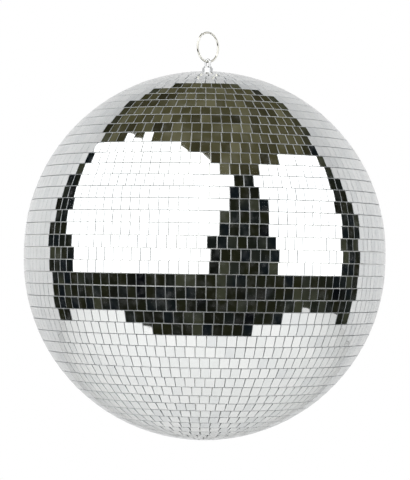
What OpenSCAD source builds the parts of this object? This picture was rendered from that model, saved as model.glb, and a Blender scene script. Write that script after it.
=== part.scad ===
/* [Ball] */
// Diameter over the mirror faces, measured round the equator
ball_d = 305; // [280:5:330]
// Height of the straight belt between the two half shells
belt_h = 5.9; // [2:0.1:10]
// Wall of each moulded half shell
shell_t = 3; // [2:0.5:5]
// White adhesive coat that the mirror tiles are bedded in
backing_t = 0.5; // [0.3:0.1:1]
// Clearance left between the layers of the ball
layer_gap = 0.1; // [0.05:0.01:0.2]

/* [Mirror tiles] */
// Rows of tiles from pole to pole, with one row on the equator
rows = 47; // [31:2:47]
// Rows next to each pole that share one node
polar_rows = 3; // [2:1:5]
// Thickness of the mirror glass
glass_t = 1.5; // [1:0.1:3]
// Joint left between two rows
tile_gap = 0.55; // [0.4:0.05:1.5]
// Radius of the bare spot at each pole, out to the first row
pole_r = 6.3; // [6.2:0.1:9]

/* [Hanging ring] */
// Outside diameter of the ring
ring_d = 26.5; // [24:0.5:34]
// Wire of the ring
ring_wire = 1.6; // [1.2:0.1:2]
// Width of the butt joint in the wire
ring_joint = 0.3; // [0.2:0.1:0.6]
// Place of the butt joint, counted from +X towards the top of the ring
ring_joint_at = 122; // [30:1:150]

/* [Eye bolt] */
// Rod that the eye is bent from
eye_wire = 1.9; // [1.6:0.1:2.2]
// Gap between the two legs of the eye
eye_gap = 2.8; // [2.4:0.1:3.4]
// Free play of the ring wire under the top of the eye
eye_play = 0.1; // [0.05:0.01:0.3]
// Top of the collar under the ring wire's centre line
collar_drop = 3.9; // [3.4:0.1:5]
// Thread diameter
thread_d = 5; // [4:0.5:6]
// Length of the threaded shank under the collar
shank_l = 31; // [30:1:60]

/* [Fasteners] */
// Width across flats of the hexagon nuts
nut_af = 8; // [8:0.5:10]
// How far the nuts have been turned when tight
nut_turn = 14; // [-30:1:30]
// Height of a full nut
nut_h = 4.7; // [4:0.1:6]
// Height of the thin nut that locks the inner nut
thin_nut_h = 2.7; // [2.5:0.1:4]
// Outside diameter of the washer in the bare spot at the top
outer_washer_d = 10; // [9:0.5:10.5]
// Thickness of that washer
outer_washer_t = 1; // [0.5:0.1:1.6]
// Outside diameter of the washers inside the ball
inner_washer_d = 12; // [10.5:0.5:18]
// Thickness of the washers inside the ball
inner_washer_t = 1.6; // [1:0.1:2]
// Diameter of the disc that spreads the load inside the top shell
plate_d = 40; // [30:1:60]
// Thickness of that disc
plate_t = 2; // [1:0.5:4]

/* [Hidden] */
$fn = 96;

// Play between parts that are fitted together
fit = 0.05;
bore_r = thread_d / 2 + fit;
hole_r = thread_d / 2 + 0.3;

// Radii of the layers, from the mirror face inwards
ball_r = ball_d / 2;
glass_r = ball_r - glass_t;
backing_r = glass_r - layer_gap;
shell_r = backing_r - backing_t - layer_gap;
inner_r = shell_r - shell_t;

// The hanging point, inside the top of the ring, is the origin
ring_r = (ring_d - ring_wire) / 2;
ring_z = ring_wire / 2 - ring_r;
pivot_z = ring_z - ring_r;

// The eye hangs on the ring's lowest point
eye_r = (eye_gap + eye_wire) / 2;
eye_top_z = pivot_z + ring_wire / 2 + eye_play + eye_wire / 2;
collar_t = 0.95;
collar_r = 3.4;
collar_z = pivot_z - collar_drop - collar_t;
leg_r = eye_wire / 2;
leg_l = eye_top_z - eye_r - (collar_z + collar_t / 2);

// Fasteners, from the collar down to the shell
nut_z = collar_z - fit - nut_h;
outer_washer_z = nut_z - fit - outer_washer_t;
seat_z = outer_washer_z - fit;
seat_depth = 0.15;
belt = belt_h / 2;
ball_z = seat_z + seat_depth - shell_r - belt;
outer_pole_r = pole_r - tile_gap / 2;

// Fasteners inside the ball, from the boss down
boss_r = plate_d / 2 + 2;
boss_z = ball_z + belt + inner_r - 2;
plate_z = boss_z - fit - plate_t;
inner_washer_z = plate_z - fit - inner_washer_t;
spring_z = inner_washer_z - fit - inner_washer_t;
inner_nut_z = spring_z - fit - nut_h;
jam_nut_z = inner_nut_z - fit - thin_nut_h;

// The hoop inside the seam
hoop_h = 18;
hoop_t = 1.2;

// Rows are spaced evenly along the outline from pole to pole
outline = PI * ball_r + belt_h;
row_pitch = (outline - 2 * pole_r) / rows;
tile_h = row_pitch - tile_gap;
last_row = (rows - 1) / 2;
last_single = last_row - polar_rows;

// Latitude of a row's middle, and its place on the outline as [radius, height]
function row_lat(i) = sign(i) * max(0, abs(i) * row_pitch - belt) / ball_r * 180 / PI;
function row_mid(i) = [ball_r * cos(row_lat(i)), sign(i) * belt + ball_r * sin(row_lat(i))];

// A flat ring
module disc_ring(r, bore, h) {
    difference() {
        cylinder(r = r, h = h);
        translate([0, 0, -1])
            cylinder(r = bore, h = h + 2);
    }
}

// A hexagon nut whose corners are chamfered at both ends
module hex_nut(h) {
    corner_r = nut_af / 2 / cos(30);
    chamfer_w = corner_r - nut_af / 2 * 0.97;
    chamfer_h = chamfer_w * tan(30);
    rotate([0, 0, nut_turn])
        difference() {
            intersection() {
                cylinder(r = corner_r, h = h, $fn = 6);
                rotate_extrude()
                    polygon([
                        [0, 0],
                        [corner_r - chamfer_w, 0],
                        [corner_r, chamfer_h],
                        [corner_r, h - chamfer_h],
                        [corner_r - chamfer_w, h],
                        [0, h]
                    ]);
            }
            translate([0, 0, -1])
                cylinder(r = bore_r, h = h + 2);
        }
}

// The upper half of a ball of radius r, standing on a belt
module half_ball(r) {
    intersection() {
        union() {
            translate([0, 0, belt])
                sphere(r = r);
            cylinder(r = r, h = belt);
        }
        cylinder(r = r + 1, h = r + belt + 1);
    }
}

// A half skin between two radii
module half_skin(outer, inner) {
    difference() {
        half_ball(outer);
        translate([0, 0, -belt])
            cylinder(r = inner, h = 2 * belt);
        translate([0, 0, belt])
            sphere(r = inner);
    }
}

// One row of mirror tiles, as the flat-sided band that they stand in
module row_band(i) {
    lat = row_lat(i);
    up = [-sin(lat), cos(lat)] * tile_h / 2;
    in = [-cos(lat), -sin(lat)] * glass_t;
    mid = row_mid(i);
    color("silver")
        translate([0, 0, ball_z])
            rotate_extrude()
                polygon([mid - up, mid + up, mid + up + in, mid - up + in]);
}

module hanging_ring() {
    color("gainsboro")
        translate([0, 0, ring_z])
            rotate([90, 0, 0])
                difference() {
                    rotate_extrude()
                        translate([ring_r, 0])
                            circle(d = ring_wire);
                    rotate([0, 0, ring_joint_at])
                        translate([ring_r, 0, 0])
                            cube([3 * ring_wire, ring_joint, 3 * ring_wire], center = true);
                }
}

module eye_bolt() {
    color("lightgrey") {
        translate([0, 0, eye_top_z - eye_r])
            rotate([90, 0, 90])
                rotate_extrude(angle = 180)
                    translate([eye_r, 0])
                        circle(r = leg_r);
        for (side = [-1, 1])
            translate([0, side * eye_r, collar_z + collar_t / 2])
                cylinder(r = leg_r, h = leg_l);
        translate([0, 0, collar_z])
            cylinder(r = collar_r, h = collar_t);
        translate([0, 0, collar_z - shank_l])
            cylinder(d = thread_d, h = shank_l + collar_t / 2);
    }
}

module lock_nut() {
    color("lightgrey")
        translate([0, 0, nut_z])
            hex_nut(nut_h);
}

module outer_washer() {
    color("lightgrey")
        translate([0, 0, outer_washer_z])
            disc_ring(outer_washer_d / 2, bore_r, outer_washer_t);
}

module load_plate() {
    color("darkgrey")
        translate([0, 0, plate_z])
            disc_ring(plate_d / 2, bore_r, plate_t);
}

module inner_washer() {
    color("lightgrey")
        translate([0, 0, inner_washer_z])
            disc_ring(inner_washer_d / 2, bore_r, inner_washer_t);
}

module spring_washer() {
    spring_r = inner_washer_d / 2 - 0.5;
    color("dimgrey")
        translate([0, 0, spring_z])
            difference() {
                disc_ring(spring_r, bore_r, inner_washer_t);
                translate([0, -0.4, -1])
                    cube([spring_r + 1, 0.8, inner_washer_t + 2]);
            }
}

module inner_nut() {
    color("lightgrey")
        translate([0, 0, inner_nut_z])
            hex_nut(nut_h);
}

module jam_nut() {
    color("lightgrey")
        translate([0, 0, jam_nut_z])
            hex_nut(thin_nut_h);
}

module upper_shell() {
    color("whitesmoke")
        difference() {
            union() {
                translate([0, 0, ball_z + layer_gap / 2])
                    half_skin(shell_r, inner_r);
                translate([0, 0, boss_z])
                    cylinder(r = boss_r, h = 3);
            }
            translate([0, 0, seat_z])
                cylinder(r = outer_pole_r, h = 10);
            translate([0, 0, boss_z - 1])
                cylinder(r = hole_r, h = 20);
        }
}

module lower_shell() {
    color("whitesmoke")
        translate([0, 0, ball_z - layer_gap / 2])
            mirror([0, 0, 1])
                half_skin(shell_r, inner_r);
}

module joint_hoop() {
    color("white")
        translate([0, 0, ball_z - hoop_h / 2])
            disc_ring(inner_r - 0.4, inner_r - 0.4 - hoop_t, hoop_h);
}

module upper_backing() {
    color("white")
        difference() {
            translate([0, 0, ball_z + layer_gap / 2])
                half_skin(backing_r, backing_r - backing_t);
            translate([0, 0, seat_z - 1])
                cylinder(r = outer_pole_r, h = 10);
        }
}

module lower_backing() {
    color("white")
        translate([0, 0, ball_z - layer_gap / 2])
            mirror([0, 0, 1])
                half_skin(backing_r, backing_r - backing_t);
}

module rows_top_pole() {
    for (i = [last_single + 1 : last_row])
        row_band(i);
}

module rows_bottom_pole() {
    for (i = [last_single + 1 : last_row])
        row_band(-i);
}

module pole_mirror() {
    color("silver")
        translate([0, 0, ball_z - belt - ball_r])
            cylinder(r = outer_pole_r, h = glass_t);
}

hanging_ring();
eye_bolt();
lock_nut();
outer_washer();
load_plate();
inner_washer();
spring_washer();
inner_nut();
jam_nut();
upper_shell();
lower_shell();
joint_hoop();
upper_backing();
lower_backing();
row_band(0);  // row_equator
for (i = [1 : last_single]) {
    row_band(i);
    row_band(-i);
}
rows_top_pole();
rows_bottom_pole();
pole_mirror();
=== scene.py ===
"""A hanging mirror ball: every tile, the wire ring and the eye bolt, in a plain studio."""
import math

import bpy
import numpy as np
from mathutils import Matrix, Vector


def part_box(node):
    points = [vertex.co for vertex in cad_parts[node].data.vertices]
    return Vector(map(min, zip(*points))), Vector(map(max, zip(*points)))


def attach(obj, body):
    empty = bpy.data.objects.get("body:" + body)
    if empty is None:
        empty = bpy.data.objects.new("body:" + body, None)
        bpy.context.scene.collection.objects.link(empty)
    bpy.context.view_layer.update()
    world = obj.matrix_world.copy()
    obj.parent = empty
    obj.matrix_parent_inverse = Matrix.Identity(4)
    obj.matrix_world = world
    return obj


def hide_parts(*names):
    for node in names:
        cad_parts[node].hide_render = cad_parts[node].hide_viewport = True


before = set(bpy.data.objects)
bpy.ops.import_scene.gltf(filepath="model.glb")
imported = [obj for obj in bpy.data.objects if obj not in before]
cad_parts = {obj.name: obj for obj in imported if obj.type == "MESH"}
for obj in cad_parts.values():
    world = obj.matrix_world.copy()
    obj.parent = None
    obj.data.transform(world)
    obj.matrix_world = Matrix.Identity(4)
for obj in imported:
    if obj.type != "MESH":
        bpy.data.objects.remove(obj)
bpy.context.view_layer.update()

MM = 0.001
TAU = 2 * math.pi
rng = np.random.default_rng(47)

# ---------------------------------------------------------------- sizes
# The ball, as the frame has it: two half balls with a short straight belt between them.
equator_low, equator_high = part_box("row_equator")
pole_low, pole_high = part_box("pole_mirror")
BALL_R = (equator_high.x - equator_low.x) / 2
BALL_Z = (equator_high.z + equator_low.z) / 2
CENTRE = Vector((0, 0, BALL_Z))
HALF_BELT = BALL_Z - pole_low.z - BALL_R
POLE_MIRROR_R = (pole_high.x - pole_low.x) / 2
GLASS_T = pole_high.z - pole_low.z

# The rows: each has a node of its own, but the three at each pole share one.
POLAR_ROWS = 3
SINGLE_ROWS = sum(name.startswith("row_above_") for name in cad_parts)
LAST_ROW = SINGLE_ROWS + POLAR_ROWS
TILE_H = equator_high.z - equator_low.z
ROW_PITCH = (math.pi * BALL_R + 2 * HALF_BELT - 2 * POLE_MIRROR_R + TILE_H) / (2 * LAST_ROW + 2)

# The tiles along a row.
EQUATOR_TILES = 120
FEWEST_TILES = 6
TILE_PITCH = TAU * BALL_R / EQUATOR_TILES
TILE_GAP = ROW_PITCH - TILE_H
TIGHTEST_GAP = 0.25 * MM
NARROWEST_TILE = 2 * MM

# A tile's ground edge, how far its face lies inside the CAD band, and its play above the backing.
TILE_GROUND = 0.06 * MM
FACE_INSET = 0.12 * MM
BACK_PLAY = 0.02 * MM

# How far a tile is out of true. Shift, lean and turn spread about zero, and the cut is over or under size.
TILE_SHIFT = 0.06 * MM
TILE_LEAN = math.radians(0.35)
LOOSE_LEAN = math.radians(0.9)
LOOSE_SHARE = 0.03
TILE_TURN = math.radians(0.35)
CUT_UNDER = -0.05 * MM
CUT_OVER = 0.03 * MM

# M5 hardware.
THREAD_R = 2.5 * MM
THREAD_PITCH = 0.8 * MM
THREAD_DEPTH = 0.45 * MM
BORE_R = 2.55 * MM


# ---------------------------------------------------------------- material helpers
def srgb(red, green, blue):
    """A colour given as 0 to 255 on screen, as Blender's linear colour."""
    shares = [value / 255 for value in (red, green, blue)]
    linear = [share / 12.92 if share <= 0.04 else ((share + 0.055) / 1.055) ** 2.4 for share in shares]
    return (*linear, 1.0)


def grey(value):
    """A linear grey."""
    return (value, value, value, 1.0)


class Nodes:
    """Short hand for a node tree. A value is a number, a colour or another node's socket."""

    def __init__(self, tree):
        self.tree = tree
        self.tree.nodes.clear()

    def add(self, kind, **inputs):
        """A new node. An input's name has _ in place of each space."""
        node = self.tree.nodes.new(kind)
        for name, value in inputs.items():
            self.put(node, name.replace("_", " "), value)
        return node

    def put(self, node, name, value):
        """Sets a node's input, or links a socket to it."""
        socket = node.inputs[name]
        if isinstance(value, bpy.types.NodeSocket):
            self.tree.links.new(value, socket)
        else:
            socket.default_value = value

    def math(self, operation, first, second=0.0, third=0.0):
        """One sum of up to three values."""
        node = self.tree.nodes.new("ShaderNodeMath")
        node.operation = operation
        for index, value in enumerate((first, second, third)):
            self.put(node, index, value)
        return node.outputs[0]

    def span(self, value, low, high):
        """Spreads a 0 to 1 value over low to high."""
        return self.math("MULTIPLY_ADD", value, high - low, low)

    def rise(self, value, start, end, top=1.0):
        """0 up to start, top from end on, and even in between."""
        node = self.add("ShaderNodeMapRange", Value=value, From_Min=start, From_Max=end, To_Max=top)
        return node.outputs[0]

    def noise(self, scale, detail=2.0, rough=0.5, place="Object"):
        """Noise of so many cells to the unit, which is the metre on an object."""
        where = self.add("ShaderNodeTexCoord").outputs[place]
        node = self.add("ShaderNodeTexNoise", Vector=where, Scale=scale, Detail=detail, Roughness=rough)
        return node.outputs[0]

    def ramp(self, value, stops):
        """A colour that runs through (place, colour) stops."""
        node = self.add("ShaderNodeValToRGB", Fac=value)
        elements = node.color_ramp.elements
        while len(elements) < len(stops):
            elements.new(0.5)
        for element, (place, colour) in zip(elements, stops):
            element.position = place
            element.color = colour
        return node.outputs["Color"]

    def multiply(self, first, second):
        """The product of two colours."""
        node = self.add("ShaderNodeMix")
        node.data_type = "RGBA"
        node.blend_type = "MULTIPLY"
        node.inputs[0].default_value = 1.0
        self.put(node, 6, first)
        self.put(node, 7, second)
        return node.outputs[2]

    def bump(self, height, strength, distance):
        """A normal for a rough surface."""
        return self.add("ShaderNodeBump", Height=height, Strength=strength, Distance=distance).outputs[0]


def surface(name, **settings):
    """A new material with one Principled shader: the material, its nodes and the shader."""
    material = bpy.data.materials.new(name)
    material.use_nodes = True
    nodes = Nodes(material.node_tree)
    shader = nodes.add("ShaderNodeBsdfPrincipled", **settings)
    nodes.add("ShaderNodeOutputMaterial", Surface=shader.outputs[0])
    return material, nodes, shader


# ---------------------------------------------------------------- materials
def mirror_material():
    """Silvered glass. Each tile has a shade of its own, dust and specks, and silver lost along its edge."""
    material, nodes, shader = surface("mirror_tile_face")
    own_shade = nodes.ramp(nodes.add("ShaderNodeNewGeometry").outputs["Random Per Island"], [
        (0.0, (0.83, 0.85, 0.86, 1)),
        (0.3, (0.90, 0.92, 0.92, 1)),
        (1.0, (0.96, 0.97, 0.97, 1)),
    ])
    uv = nodes.add("ShaderNodeSeparateXYZ", Vector=nodes.add("ShaderNodeTexCoord").outputs["UV"])
    across = nodes.math("PINGPONG", uv.outputs[0], 0.5)
    along = nodes.math("PINGPONG", uv.outputs[1], 0.5)
    from_edge = nodes.math("MINIMUM", across, along)
    ragged = nodes.math("ADD", from_edge, nodes.span(nodes.noise(1600, 4, 0.7), -0.016, 0.016))
    silver = nodes.ramp(ragged, [(0.0, grey(0.5)), (0.006, grey(0.8)), (0.012, grey(1.0))])
    nodes.put(shader, "Base Color", nodes.multiply(own_shade, silver))

    haze = nodes.rise(nodes.noise(130, 6, 0.65), 0.5, 0.8, 0.035)
    specks = nodes.rise(nodes.noise(1700, 2, 0.5), 0.7, 0.8, 0.15)
    dust = nodes.math("ADD", haze, specks)
    nodes.put(shader, "Metallic", nodes.math("SUBTRACT", 1.0, dust))
    nodes.put(shader, "Roughness", nodes.math("MULTIPLY_ADD", dust, 0.5, 0.015))
    nodes.put(shader, "Normal", nodes.bump(nodes.noise(55, 1), 0.05, 0.4 * MM))
    return material


def glass_edge_material():
    """The cut edge of the silvered glass: pale grey with a scratched grain, and the silver shows in it."""
    material, nodes, shader = surface("glass_cut_edge", Metallic=0.7, IOR=1.52)
    grain = nodes.noise(1800, 4, 0.7)
    pale = nodes.ramp(grain, [(0.3, (0.62, 0.64, 0.66, 1)), (0.7, (0.82, 0.84, 0.85, 1))])
    nodes.put(shader, "Base Color", pale)
    nodes.put(shader, "Roughness", nodes.span(grain, 0.15, 0.45))
    nodes.put(shader, "Normal", nodes.bump(grain, 0.4, 0.1 * MM))
    return material


def backing_material():
    """Pearl white adhesive coat, slightly lumpy, with dust in the joints."""
    material, nodes, shader = surface("pearl_adhesive", Metallic=0.7, IOR=1.45)
    lumps = nodes.noise(420, 4, 0.6)
    dirt = nodes.noise(35, 3, 0.6)
    pearl = nodes.ramp(dirt, [(0.3, srgb(246, 247, 245)), (0.75, srgb(232, 232, 226))])
    nodes.put(shader, "Base Color", pearl)
    nodes.put(shader, "Roughness", nodes.span(lumps, 0.22, 0.45))
    nodes.put(shader, "Normal", nodes.bump(lumps, 0.5, 0.15 * MM))
    return material


def metal_material(name, dark, light, rough_low, rough_high, grain_scale):
    """Bright metal with a fine drawn or rolled grain, handled spots and duller patches."""
    material, nodes, shader = surface(name, Metallic=1.0)
    patches = nodes.noise(180, 4, 0.6)
    handled = nodes.noise(600, 4, 0.6)
    grain = nodes.noise(grain_scale, 5, 0.7)
    nodes.put(shader, "Base Color", nodes.ramp(patches, [(0.3, dark), (0.65, light)]))
    nodes.put(shader, "Roughness", nodes.span(handled, rough_low, rough_high))
    nodes.put(shader, "Normal", nodes.bump(grain, 0.05, 0.05 * MM))
    return material


def plastic_material():
    """Moulded white polystyrene with a fine grain, a little yellowed in places."""
    material, nodes, shader = surface("moulded_polystyrene", IOR=1.49)
    grain = nodes.noise(900, 3, 0.6)
    stain = nodes.noise(14, 3, 0.6)
    white = nodes.ramp(stain, [(0.35, srgb(236, 235, 230)), (0.75, srgb(224, 221, 208))])
    nodes.put(shader, "Base Color", white)
    nodes.put(shader, "Roughness", nodes.span(grain, 0.38, 0.6))
    nodes.put(shader, "Normal", nodes.bump(grain, 0.2, 0.1 * MM))
    return material


MIRROR = mirror_material()
GLASS_EDGE = glass_edge_material()
BACKING = backing_material()
PLASTIC = plastic_material()
NICKEL = metal_material("nickel_wire", srgb(196, 194, 184), srgb(238, 236, 228), 0.06, 0.16, 2600)
ZINC = metal_material("bright_zinc", srgb(196, 197, 198), srgb(230, 231, 232), 0.1, 0.26, 1500)
SPRING_STEEL = metal_material("spring_steel", srgb(110, 110, 112), srgb(150, 150, 152), 0.3, 0.5, 1200)


# ---------------------------------------------------------------- mesh helpers
def piece(name, points, faces, materials, body, slot, smooth_angle=None, material_index=None, uv=None):
    """Makes a mesh object that rides on a body. Edges sharper than smooth_angle, in degrees, stay sharp."""
    mesh = bpy.data.meshes.new(name)
    mesh.from_pydata([tuple(point) for point in points], [], faces)
    for material in materials:
        mesh.materials.append(material)
    if material_index is not None:
        mesh.polygons.foreach_set("material_index", material_index)
    if uv is not None:
        mesh.uv_layers.new(name="UVMap").data.foreach_set("uv", np.asarray(uv, float).ravel())
    if smooth_angle is not None:
        mesh.shade_smooth()
        mesh.set_sharp_from_angle(angle=math.radians(smooth_angle))
    mesh.validate()
    mesh.update()
    obj = bpy.data.objects.new(name, mesh)
    bpy.context.scene.collection.objects.link(obj)
    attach(obj, body)
    return obj


def turned(levels, steps, loop):
    """Points and faces of a body turned round Z.

    A level is (z, radius), and a radius may be a function of the angle. With loop, the last level joins the
    first, as in a washer.
    """
    points = []
    rings = []
    for z, radius in levels:
        if radius == 0:
            rings.append([len(points)] * steps)
            points.append((0, 0, z))
            continue
        rings.append(list(range(len(points), len(points) + steps)))
        for step in range(steps):
            angle = TAU * step / steps
            r = radius(angle) if callable(radius) else radius
            points.append((r * math.cos(angle), r * math.sin(angle), z))
    faces = []
    pairs = list(zip(rings, rings[1:] + rings[:1]))
    for lower, upper in pairs if loop else pairs[:-1]:
        for step in range(steps):
            following = (step + 1) % steps
            corners = [lower[step], lower[following], upper[following], upper[step]]
            face = list(dict.fromkeys(corners))
            if len(face) > 2:
                faces.append(face)
    return points, faces


def turned_over(points, faces):
    """The same points and faces, with each face looking the other way."""
    return points, [face[::-1] for face in faces]


def tube(path, radii, side, sides=24):
    """Points and faces of a round wire along a flat path. side is the normal of the path's plane."""
    points = []
    for index, (place, radius) in enumerate(zip(path, radii)):
        ahead = path[min(index + 1, len(path) - 1)]
        behind = path[max(index - 1, 0)]
        normal = side.cross(ahead - behind).normalized()
        for step in range(sides):
            angle = TAU * step / sides
            points.append(place + radius * (math.cos(angle) * normal + math.sin(angle) * side))
    faces = []
    for ring in range(len(path) - 1):
        for step in range(sides):
            a = ring * sides + step
            b = ring * sides + (step + 1) % sides
            faces.append([a, b, b + sides, a + sides])
    faces.append(list(range(sides))[::-1])
    faces.append([len(points) - sides + step for step in range(sides)])
    return points, faces


def joined(*parts):
    """Several (points, faces) as one."""
    points = []
    faces = []
    for more_points, more_faces in parts:
        start = len(points)
        points += more_points
        faces += [[start + corner for corner in face] for face in more_faces]
    return points, faces


# ---------------------------------------------------------------- mirror tiles
def row_place(row):
    """Latitude, radius and height of the middle of a row's mirror faces. Row 0 is the equator."""
    lat = math.copysign(max(0.0, abs(row) * ROW_PITCH - HALF_BELT) / BALL_R, row)
    height = BALL_Z + math.copysign(HALF_BELT, row) * (row != 0) + BALL_R * math.sin(lat)
    return lat, BALL_R * math.cos(lat), height


def tile_widths(row, lat, radius, count):
    """Widths of a tile's edge near the pole and of its edge near the equator."""
    narrowing = TILE_H / 2 * abs(math.sin(lat))
    pitch_near_pole = TAU * (radius - narrowing) / count
    pitch_near_equator = TAU * (radius + narrowing) / count
    if abs(row) > SINGLE_ROWS:
        return max(pitch_near_pole - TILE_GAP, NARROWEST_TILE), pitch_near_equator - TILE_GAP
    plain = TAU * radius / count - TILE_GAP
    return min(plain, pitch_near_pole - TIGHTEST_GAP), plain


def unit(vector):
    """The vector at length 1."""
    return vector / np.linalg.norm(vector)


def laid_tile(lat, radius, height, turn):
    """A tile's place, a little out of true: the middle of its face, and its right, up and outward."""
    true_normal = np.array([math.cos(lat) * math.cos(turn), math.cos(lat) * math.sin(turn), math.sin(lat)])
    east = np.array([-math.sin(turn), math.cos(turn), 0])
    north = np.cross(true_normal, east)
    lean = LOOSE_LEAN if rng.random() < LOOSE_SHARE else TILE_LEAN
    normal = unit(true_normal + lean * (rng.normal() * east + rng.normal() * north))
    right = unit(np.cross(north - rng.normal(0, TILE_TURN) * east, normal))
    up = np.cross(normal, right)
    middle = np.array([radius * math.cos(turn), radius * math.sin(turn), height]) - FACE_INSET * true_normal
    return middle, right, up, normal


def add_row(row, points, faces, material_index, uv):
    """Adds every tile of one row: a thin glass block with a ground edge, silvered on its face."""
    lat, radius, height = row_place(row)
    count = max(FEWEST_TILES, round(TAU * radius / TILE_PITCH))
    near_pole, near_equator = tile_widths(row, lat, radius, count)
    top, bottom = (near_pole, near_equator) if row >= 0 else (near_equator, near_pole)
    layers = [(TILE_GROUND, 0.0), (0.0, TILE_GROUND), (0.0, GLASS_T - FACE_INSET - BACK_PLAY)]
    phase = rng.uniform(0, 1)
    for k in range(count):
        turn = TAU * (k + phase) / count + rng.normal(0, TILE_SHIFT) / radius
        middle, right, up, normal = laid_tile(lat, radius, height, turn)
        over_w, over_h = rng.uniform(CUT_UNDER, CUT_OVER, 2)
        half_bottom = (bottom + over_w) / 2
        half_top = (top + over_w) / 2
        half_h = (TILE_H + over_h) / 2
        outline = [(-half_bottom, -half_h), (half_bottom, -half_h), (half_top, half_h), (-half_top, half_h)]
        start = len(points)
        for shrink, depth in layers:
            for x, y in outline:
                across = x - math.copysign(shrink, x)
                along = y - math.copysign(shrink, y)
                points.append(middle + across * right + along * up - depth * normal)
        face, ground, back = [[start + 4 * layer + corner for corner in range(4)] for layer in range(3)]
        faces.append(face)
        material_index.append(0)
        uv += [(0, 0), (1, 0), (1, 1), (0, 1)]
        sides = []
        for outer, inner in ((face, ground), (ground, back)):
            for corner in range(4):
                following = (corner + 1) % 4
                sides.append([inner[corner], inner[following], outer[following], outer[corner]])
        faces += sides + [back[::-1]]
        material_index += [1] * 9
        uv += [(0.5, 0.5)] * 36


def tile_rows(name, node, rows):
    """One object for the tiles of a node's rows."""
    points, faces, material_index, uv = [], [], [], []
    for row in rows:
        add_row(row, points, faces, material_index, uv)
    glass = [MIRROR, GLASS_EDGE]
    tiles = piece(name, points, faces, glass, "ball", "mirror_glass", None, material_index, uv)
    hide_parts(node)


def make_tiles():
    """All the rows, from the equator outwards."""
    tile_rows("tiles_equator", "row_equator", [0])
    for row in range(1, SINGLE_ROWS + 1):
        tile_rows(f"tiles_above_{row}", f"row_above_{row}", [row])
        tile_rows(f"tiles_below_{row}", f"row_below_{row}", [-row])
    polar = range(SINGLE_ROWS + 1, LAST_ROW + 1)
    tile_rows("tiles_top_pole", "rows_top_pole", polar)
    tile_rows("tiles_bottom_pole", "rows_bottom_pole", [-row for row in polar])


def make_pole_mirror():
    """The round mirror in the bare spot at the bottom."""
    ground = 0.2 * MM
    steps = 64
    levels = [
        (pole_low.z, 0),
        (pole_low.z, POLE_MIRROR_R - ground),
        (pole_low.z + ground, POLE_MIRROR_R),
        (pole_high.z, POLE_MIRROR_R),
        (pole_high.z, 0),
    ]
    points, faces = turned_over(*turned(levels, steps, False))
    index = [0] * steps + [1] * (len(faces) - steps)
    uv = [(0.5, 0.5)] * sum(len(face) for face in faces)
    disc = piece("round_mirror", points, faces, [MIRROR, GLASS_EDGE], "ball", "mirror_glass", 35, index, uv)
    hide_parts("pole_mirror")


# ---------------------------------------------------------------- ring and fasteners
def make_ring():
    """Split wire ring: its two ends meet at the upper left, one a little proud of the other."""
    low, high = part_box("hanging_ring")
    wire_r = (high.y - low.y) / 2
    ring_r = (high.x - low.x) / 2 - wire_r
    middle = Vector((0, 0, (low.z + high.z) / 2))
    joint_at = math.radians(122)
    half_gap = 0.15 * MM / ring_r
    outward = 0.45 * MM
    inward = 0.3 * MM
    fade = 26
    cut_end = 0.86
    steps = 220
    path = []
    for step in range(steps + 1):
        share = step / steps
        angle = joint_at + half_gap + share * (TAU - 2 * half_gap)
        proud = outward * math.exp(-share * fade) - inward * math.exp(-(1 - share) * fade)
        path.append(middle + (ring_r + proud) * Vector((math.cos(angle), 0, math.sin(angle))))
    radii = [cut_end * wire_r] + [wire_r] * (steps - 1) + [cut_end * wire_r]
    points, faces = tube(path, radii, Vector((0, 1, 0)))
    ring = piece("split_ring", points, faces, [NICKEL], "ring", "nickel_wire", 50)
    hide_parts("hanging_ring")


def bent_eye(wire, top_z, foot_z, collar_z, collar_r):
    """The eye: two straight legs and a half-round bend, each leg flared where it meets the collar."""
    bend_r = 2.35 * MM
    bend_z = top_z - wire / 2 - bend_r
    leg_steps = 10
    bend_steps = 32
    rise = [foot_z + (bend_z - foot_z) * step / leg_steps for step in range(leg_steps)]
    path = [Vector((0, -bend_r, z)) for z in rise]
    for step in range(bend_steps + 1):
        angle = math.pi * (1 - step / bend_steps)
        path.append(Vector((0, bend_r * math.cos(angle), bend_z + bend_r * math.sin(angle))))
    path += [Vector((0, bend_r, z)) for z in rise[::-1]]

    flare_h = 0.5 * MM
    flare_w = 0.35 * MM
    radii = []
    for place in path:
        left = max(0.0, 1 - (place.z - collar_z) / flare_h)
        radii.append(min(wire / 2 + flare_w * left ** 2, collar_r - bend_r))
    return tube(path, radii, Vector((1, 0, 0)))


def threaded_shank(collar_low, collar_high, collar_r, end_z):
    """The collar and, below it, the shank with its cut thread."""
    soft = 0.2 * MM
    levels = [
        (collar_high, 0),
        (collar_high, collar_r - soft),
        (collar_high - soft, collar_r),
        (collar_low + soft, collar_r),
        (collar_low, collar_r - soft),
        (collar_low, THREAD_R - 0.1 * MM),
    ]

    def thread_at(z):
        def radius(angle):
            turn = (z / THREAD_PITCH - angle / TAU) % 1.0
            groove = 1.25 * (1 - abs(2 * turn - 1)) - 0.1
            return THREAD_R - THREAD_DEPTH * min(1.0, max(0.0, groove))
        return radius

    z = collar_low - 0.4 * MM
    while z > end_z + 0.8 * MM:
        levels.append((z, thread_at(z)))
        z -= THREAD_PITCH / 8
    core_r = THREAD_R - THREAD_DEPTH
    levels += [(end_z + 0.6 * MM, core_r), (end_z, core_r - 0.4 * MM), (end_z, 0)]
    return turned_over(*turned(levels, 48, False))


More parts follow.
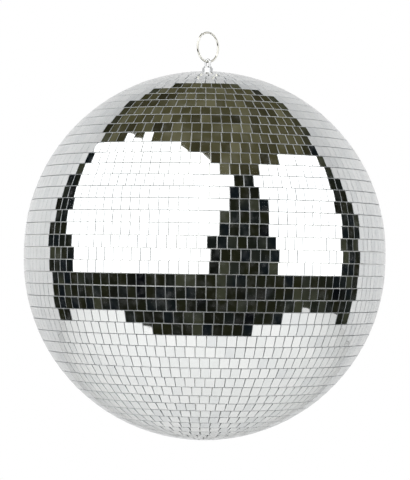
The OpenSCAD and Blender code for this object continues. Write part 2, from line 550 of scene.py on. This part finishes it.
def make_eye_bolt():
    """Bent wire eye on a turned collar, with a cut thread below it."""
    low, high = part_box("eye_bolt")
    ring_low, ring_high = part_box("hanging_ring")
    nut_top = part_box("lock_nut")[1].z
    play = 0.1 * MM
    wire = high.z - (ring_low.z + ring_high.y - ring_low.y) - play
    collar_r = (high.x - low.x) / 2
    collar_low = nut_top + 0.05 * MM
    collar_high = nut_top + 1.0 * MM
    eye = bent_eye(wire, high.z, collar_high - 0.3 * MM, collar_high, collar_r)
    shank = threaded_shank(collar_low, collar_high, collar_r, low.z)
    bolt = piece("eye_and_shank", *joined(eye, shank), [ZINC], "ball", "zinc_steel", 40)
    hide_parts("eye_bolt")


def make_nut():
    """Hexagon nut: the turned chamfer cuts arcs into its six flats."""
    low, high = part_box("lock_nut")
    turned_by = math.radians(14)
    corner_r = (high.x - low.x) / 2 / math.cos(turned_by)
    flat_r = corner_r * math.cos(math.pi / 6)
    chamfer_w = corner_r - 0.97 * flat_r
    chamfer_h = chamfer_w * math.tan(math.pi / 6)
    corner_round = 0.12 * MM
    lead = 0.4 * MM
    rounds = 10

    def hexagon(limit):
        def radius(angle):
            off_flat = (angle - turned_by) % (math.pi / 3) - math.pi / 6
            return min(flat_r / math.cos(off_flat), corner_r - corner_round, limit)
        return radius

    shares = [step / rounds for step in range(rounds + 1)]
    rising = [(low.z + chamfer_h * share, corner_r - chamfer_w * (1 - share)) for share in shares]
    falling = [(high.z + low.z - z, r) for z, r in rising[::-1]]
    levels = [(low.z, BORE_R + lead)]
    levels += [(z, hexagon(r)) for z, r in rising + falling]
    levels += [(high.z, BORE_R + lead), (high.z - lead, BORE_R), (low.z + lead, BORE_R)]
    nut = piece("hexagon_nut", *turned(levels, 180, True), [ZINC], "ball", "zinc_steel", 22)
    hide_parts("lock_nut")


def make_outer_washer():
    """The plain washer under the nut."""
    low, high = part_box("outer_washer")
    radius = (high.x - low.x) / 2
    soft = 0.15 * MM
    levels = [
        (low.z, BORE_R),
        (low.z, radius - soft),
        (low.z + soft, radius),
        (high.z - soft, radius),
        (high.z, radius - soft),
        (high.z, BORE_R),
    ]
    washer = piece("top_washer", *turned(levels, 64, True), [ZINC], "ball", "zinc_steel", 35)
    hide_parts("outer_washer")


def finish_cad_nodes():
    """Materials for the CAD parts that stay."""
    finishes = {
        PLASTIC: ["upper_shell", "lower_shell", "joint_hoop"],
        BACKING: ["upper_backing", "lower_backing"],
        ZINC: ["load_plate", "inner_washer", "inner_nut", "jam_nut"],
        SPRING_STEEL: ["spring_washer"],
    }
    for material, names in finishes.items():
        for name in names:
            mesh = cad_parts[name].data
            mesh.materials.clear()
            mesh.materials.append(material)


make_tiles()
make_pole_mirror()
make_ring()
make_eye_bolt()
make_nut()
make_outer_washer()
finish_cad_nodes()

# ---------------------------------------------------------------- camera
# A long lens about two metres off, nearly level with the ball's middle, which it aims a little above.
VIEW_AZIMUTH = math.radians(-46)
VIEW_ELEVATION = math.radians(-0.2)
VIEW_ROLL = math.radians(0.9)
VIEW_DISTANCE = 13.5 * BALL_R
LENS_MM = 182.7
SENSOR_MM = 36
AIM_UP = 13.2 * MM
AIM_RIGHT = 0.3 * MM

toward_camera = Vector((
    math.sin(VIEW_AZIMUTH) * math.cos(VIEW_ELEVATION),
    -math.cos(VIEW_AZIMUTH) * math.cos(VIEW_ELEVATION),
    math.sin(VIEW_ELEVATION),
))
level_right = Vector((math.cos(VIEW_AZIMUTH), math.sin(VIEW_AZIMUTH), 0))
level_up = toward_camera.cross(level_right)
view_right = math.cos(VIEW_ROLL) * level_right + math.sin(VIEW_ROLL) * level_up
view_up = math.cos(VIEW_ROLL) * level_up - math.sin(VIEW_ROLL) * level_right


def make_camera():
    """The camera, at the viewing angle that the constants above give."""
    data = bpy.data.cameras.new("photo_camera")
    data.lens = LENS_MM
    data.sensor_width = SENSOR_MM
    data.clip_end = 50
    camera = bpy.data.objects.new("photo_camera", data)
    bpy.context.scene.collection.objects.link(camera)
    camera.location = CENTRE + VIEW_DISTANCE * toward_camera
    aim = CENTRE + AIM_UP * view_up + AIM_RIGHT * view_right
    back = (camera.location - aim).normalized()
    right = view_up.cross(back).normalized()
    up = back.cross(right)
    camera.rotation_euler = Matrix((right, up, back)).transposed().to_euler()
    bpy.context.scene.camera = camera


# ---------------------------------------------------------------- studio
# A round floor with a curved backdrop at its rim, both centred on the ball. The floor stops short of the
# camera.
STUDIO_R = 2.3
FLOOR_DROP = 1.0
FLOOR_FRONT = 0.9
FLOOR_STEPS = 96
BACKDROP_HALF_ANGLE = 68
BACKDROP_RISE = 2.3
BACKDROP_STEPS = 48
AHEAD = Vector((toward_camera.x, toward_camera.y, 0)).normalized()


def stage_piece(name, points, faces, colour_low, colour_high):
    """A matt, painted surface of the studio."""
    mesh = bpy.data.meshes.new(name)
    mesh.from_pydata([tuple(point) for point in points], [], faces)
    material, nodes, shader = surface(name, Roughness=0.7)
    mottle = nodes.noise(2, 3, 0.5)
    nodes.put(shader, "Base Color", nodes.ramp(mottle, [(0.3, colour_low), (0.7, colour_high)]))
    mesh.materials.append(material)
    obj = bpy.data.objects.new(name, mesh)
    bpy.context.scene.collection.objects.link(obj)
    return obj


def make_floor():
    """A pale round floor below the ball, cut straight on the side where the camera stands."""
    points = []
    for step in range(FLOOR_STEPS):
        angle = TAU * step / FLOOR_STEPS
        forward = min(STUDIO_R * math.cos(angle), FLOOR_FRONT)
        sideways = STUDIO_R * math.sin(angle)
        points.append(CENTRE + forward * AHEAD + sideways * level_right - Vector((0, 0, FLOOR_DROP)))
    stage_piece("pale_floor", points, [list(range(FLOOR_STEPS))], srgb(192, 192, 191), srgb(196, 196, 195))


def make_backdrop():
    """A white curved backdrop behind the ball. The camera sees plain white in its place."""
    points = []
    for step in range(BACKDROP_STEPS + 1):
        angle = math.radians(180 + BACKDROP_HALF_ANGLE * (2 * step / BACKDROP_STEPS - 1))
        foot = CENTRE + STUDIO_R * (math.cos(angle) * AHEAD + math.sin(angle) * level_right)
        points += [foot - Vector((0, 0, FLOOR_DROP)), foot + Vector((0, 0, BACKDROP_RISE))]
    faces = [[a, a + 2, a + 3, a + 1] for a in range(0, 2 * BACKDROP_STEPS, 2)]
    backdrop = stage_piece("white_backdrop", points, faces, srgb(210, 210, 210), srgb(214, 214, 214))
    backdrop.visible_camera = False


def make_softbox(name, azimuth, elevation, distance, width, height, glow):
    """A soft light that the mirrors show as a plain white panel.

    Azimuth and elevation are degrees from the camera's direction, to its right and up. Glow is the light's
    brightness as the mirrors show it.
    """
    a = math.radians(azimuth)
    e = math.radians(elevation)
    level = math.sin(a) * view_right + math.cos(a) * toward_camera
    toward = math.cos(e) * level + math.sin(e) * view_up
    data = bpy.data.lights.new(name, "AREA")
    data.shape = "RECTANGLE"
    data.size = width
    data.size_y = height
    data.energy = glow * math.pi * width * height
    light = bpy.data.objects.new(name, data)
    bpy.context.scene.collection.objects.link(light)
    light.location = CENTRE + distance * toward
    light.rotation_euler = toward.to_track_quat("Z", "Y").to_euler()
    light.visible_camera = False


def make_world():
    """The studio all round: white to the camera, soft light from above, and dark in the mirrors."""
    world = bpy.data.worlds.new("studio")
    bpy.context.scene.world = world
    world.use_nodes = True
    nodes = Nodes(world.node_tree)
    toward = nodes.add("ShaderNodeTexCoord").outputs["Generated"]
    height = nodes.add("ShaderNodeSeparateXYZ", Vector=toward).outputs[2]
    shade = nodes.noise(7, 3, 0.7, "Generated")
    unlit = nodes.ramp(shade, [
        (0.36, srgb(9, 11, 14)),
        (0.46, srgb(32, 33, 20)),
        (0.54, srgb(16, 22, 26)),
        (0.62, srgb(56, 58, 45)),
    ])
    overhead = nodes.ramp(shade, [
        (0.36, srgb(44, 42, 28)),
        (0.5, srgb(74, 71, 48)),
        (0.64, srgb(100, 97, 74)),
    ])
    from_above = nodes.ramp(nodes.span(height, 0.5, 1.0), [
        (0.0, grey(0.07)),
        (0.5, grey(0.3)),
        (1.0, grey(1.22)),
    ])

    def light(colour):
        return nodes.add("ShaderNodeBackground", Color=colour).outputs[0]

    def blend(share, first, second):
        mix = nodes.add("ShaderNodeMixShader", Fac=share)
        nodes.put(mix, 1, first)
        nodes.put(mix, 2, second)
        return mix.outputs[0]

    path = nodes.add("ShaderNodeLightPath")
    mirrored = blend(nodes.rise(height, 0.68, 0.76), light(unlit), light(overhead))
    lit = blend(path.outputs["Is Diffuse Ray"], light(grey(1.0)), light(from_above))
    shown = blend(path.outputs["Is Glossy Ray"], lit, mirrored)
    nodes.add("ShaderNodeOutputWorld", Surface=shown)


make_camera()
make_floor()
make_backdrop()
make_softbox("softbox_left", azimuth=-44, elevation=30, distance=1.8, width=4.2, height=2.8, glow=1.8)
make_softbox("softbox_right", azimuth=68, elevation=20, distance=2.0, width=1.9, height=2.3, glow=1.8)
make_world()
bpy.context.scene.view_settings.view_transform = "Standard"
